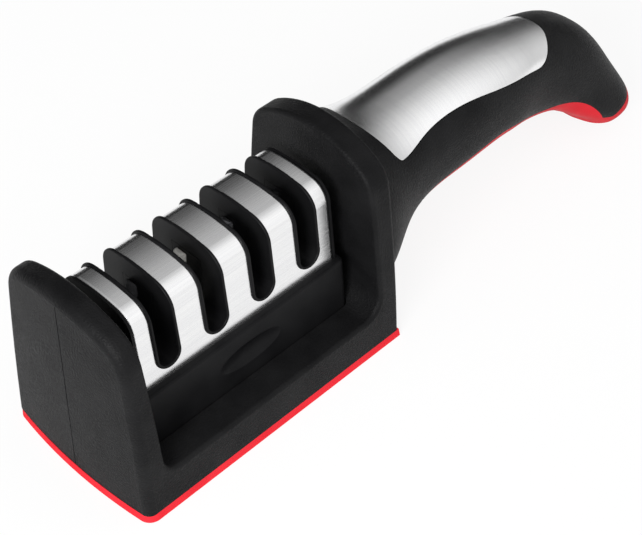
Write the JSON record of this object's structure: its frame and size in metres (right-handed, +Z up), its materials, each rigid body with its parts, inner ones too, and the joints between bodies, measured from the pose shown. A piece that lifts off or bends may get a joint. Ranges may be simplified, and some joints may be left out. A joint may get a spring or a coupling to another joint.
{
  "type": "pull through knife sharpener",
  "caption": "Pull through knife sharpener: a lift-out cartridge with slots over crossed sharpening elements stands in a U-shaped base with a curved hand grip.",
  "frame": {"origin": "middle of the base's footprint, on the table", "axes": "+X from the front end wall towards the handle's end, +Y to the left seen from the front end, +Z up"},
  "size_m": [0.2134, 0.054, 0.0637],
  "materials": {
    "black_plastic": "fine grained, matt",
    "red_rubber": "soft, matt",
    "red_plastic": "satin",
    "brushed_steel": "brushed",
    "dark_plastic": "smooth, semi matt",
    "screw_steel": "zinc plated",
    "ceramic_white": "fine, unglazed",
    "ceramic_grey": "coarse, unglazed",
    "diamond_coat": "gritty nickel bond",
    "carbide": "ground"
  },
  "bodies": {
    "body": {"frame": "black_plastic", "base_pad": "red_rubber", "base_plate": "dark_plastic", "base_screws": "screw_steel", "handle_plate": "brushed_steel", "inlay_washers": "screw_steel", "grip_underside": "red_plastic"},
    "cartridge": {"cartridge_body": "dark_plastic", "slot_block": "dark_plastic", "slot_liners": "dark_plastic", "cartridge_cover": "brushed_steel", "end_cap_front": "dark_plastic", "end_cap_rear": "dark_plastic", "cartridge_base": "dark_plastic", "cartridge_screws": "screw_steel", "scissor_holder": "dark_plastic", "ceramic_holder": "dark_plastic", "diamond_holder": "dark_plastic", "carbide_holder": "dark_plastic", "scissor_rod_left": "ceramic_grey", "scissor_rod_right": "ceramic_grey", "ceramic_rod_left": "ceramic_white", "ceramic_rod_right": "ceramic_white", "diamond_rod_left": "diamond_coat", "diamond_rod_right": "diamond_coat", "carbide_blade_left": "carbide", "carbide_blade_right": "carbide"}
  },
  "joints": [
    {"name": "cartridge_lift", "type": "slide", "parent": "body", "child": "cartridge", "axis": [0, 0, 1], "range_m": [0, 0.056]}
  ]
}
